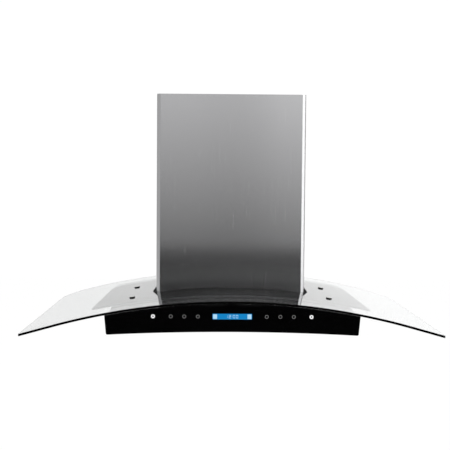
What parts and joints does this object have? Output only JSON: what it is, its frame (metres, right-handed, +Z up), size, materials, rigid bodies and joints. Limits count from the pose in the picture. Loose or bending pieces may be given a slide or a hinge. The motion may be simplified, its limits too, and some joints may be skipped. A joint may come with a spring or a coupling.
{
  "type": "range hood",
  "caption": "Wall-mounted range hood with a curved clear glass canopy, black glass touch fascia, steel chimney that telescopes, baffle filters, blower and duct collar.",
  "frame": {"origin": "centre of the four wall-fixing holes, on the wall plane", "axes": "+Z up, +Y into the wall, -Y towards the cook, +X along the canopy's width, to the right when seen from the front"},
  "size_m": [0.8994, 0.5, 0.521],
  "materials": {
    "clear_glass": "polished clear tempered glass with a dark ground edge",
    "black_glass": "polished black glass",
    "display_glass": "lit blue display behind clear glass",
    "stainless": "fine brushed stainless steel",
    "stainless_filter": "bright stainless baffles",
    "galvanised": "galvanised sheet steel",
    "black_rubber": "matte black rubber",
    "black_plastic": "matte black moulded plastic",
    "dark_plastic": "gloss black caps",
    "circuit": "green circuit board",
    "zinc": "zinc-plated fasteners",
    "chrome": "polished chrome",
    "lamp_glass": "frosted lamp lens",
    "aluminium": "cast aluminium",
    "motor_steel": "painted motor can",
    "cable_jacket": "black flexible jacket"
  },
  "bodies": {
    "root": {"glass_canopy": "clear_glass", "glass_gasket": "black_rubber", "support_plate": "galvanised", "glass_screws": "zinc", "glass_nuts": "zinc", "glass_bushes": "black_rubber", "screw_caps": "dark_plastic", "body_shell": "stainless", "front_cover": "stainless", "fascia_panel": "black_glass", "fascia_carrier": "black_plastic", "display_window": "display_glass", "display_module": "black_plastic", "touch_board": "circuit", "touch_pads": "black_rubber", "display_ribbon": "black_plastic", "control_box": "black_plastic", "control_box_lid": "black_plastic", "power_board": "circuit", "lamp_bezels": "chrome", "lamp_lenses": "lamp_glass", "lamp_bodies": "aluminium", "blower_casing": "galvanised", "casing_flange": "galvanised", "wall_plate": "galvanised", "casing_screws": "zinc", "scroll_housing": "galvanised", "motor": "motor_steel", "motor_bracket": "galvanised", "run_capacitor": "aluminium", "duct_collar": "galvanised", "collar_screws": "zinc", "damper_axle": "zinc", "cable_gland": "black_plastic", "power_cable": "cable_jacket", "lower_chimney": "stainless", "chimney_brackets": "galvanised", "chimney_screws": "zinc", "chimney_clips": "black_plastic"},
    "upper_chimney": {"upper_chimney": "stainless", "ceiling_bracket": "galvanised", "ceiling_bracket_screws": "zinc"},
    "rotor": {"impeller_disc": "galvanised", "impeller_blades": "galvanised", "impeller_rings": "galvanised", "motor_shaft": "zinc", "rotor_nut": "zinc"},
    "damper_left": {"damper_flap_left": "galvanised"},
    "damper_right": {"damper_flap_right": "galvanised"},
    "filter_left": {"filter_frame_left": "stainless", "filter_baffles_left": "stainless_filter", "filter_handle_left": "chrome", "latch_spring_left": "zinc"},
    "filter_right": {"filter_frame_right": "stainless", "filter_baffles_right": "stainless_filter", "filter_handle_right": "chrome", "latch_spring_right": "zinc"},
    "filter_latch_left": {"latch_left": "chrome"},
    "filter_latch_right": {"latch_right": "chrome"}
  },
  "joints": [
    {"name": "chimney_slide", "type": "slide", "parent": "root", "child": "upper_chimney", "axis": [0, 0, 1], "range_m": [0, 0.34]},
    {"name": "impeller_spin", "type": "hinge", "parent": "root", "child": "rotor", "pos_m": [0, -0.1, -0.03], "axis": [1, 0, 0], "continuous": true},
    {"name": "damper_left_hinge", "type": "hinge", "parent": "root", "child": "damper_left", "pos_m": [0, -0.147, 0.117], "axis": [0, 1, 0], "range_deg": [0, 75]},
    {"name": "damper_right_hinge", "type": "hinge", "parent": "root", "child": "damper_right", "pos_m": [0, -0.147, 0.117], "axis": [0, -1, 0], "range_deg": [0, 75]},
    {"name": "filter_left_hinge", "type": "hinge", "parent": "root", "child": "filter_left", "pos_m": [-0.128, -0.0835, -0.194], "axis": [1, 0, 0], "range_deg": [0, 75]},
    {"name": "latch_left_slide", "type": "slide", "parent": "filter_left", "child": "filter_latch_left", "axis": [0, 1, 0], "range_m": [0, 0.008], "stiffness_N_per_m": 300, "springref_m": -0.004, "deforming": ["latch_spring_left"]},
    {"name": "filter_right_hinge", "type": "hinge", "parent": "root", "child": "filter_right", "pos_m": [0.128, -0.0835, -0.194], "axis": [1, 0, 0], "range_deg": [0, 75]},
    {"name": "latch_right_slide", "type": "slide", "parent": "filter_right", "child": "filter_latch_right", "axis": [0, 1, 0], "range_m": [0, 0.008], "stiffness_N_per_m": 300, "springref_m": -0.004, "deforming": ["latch_spring_right"]}
  ]
}
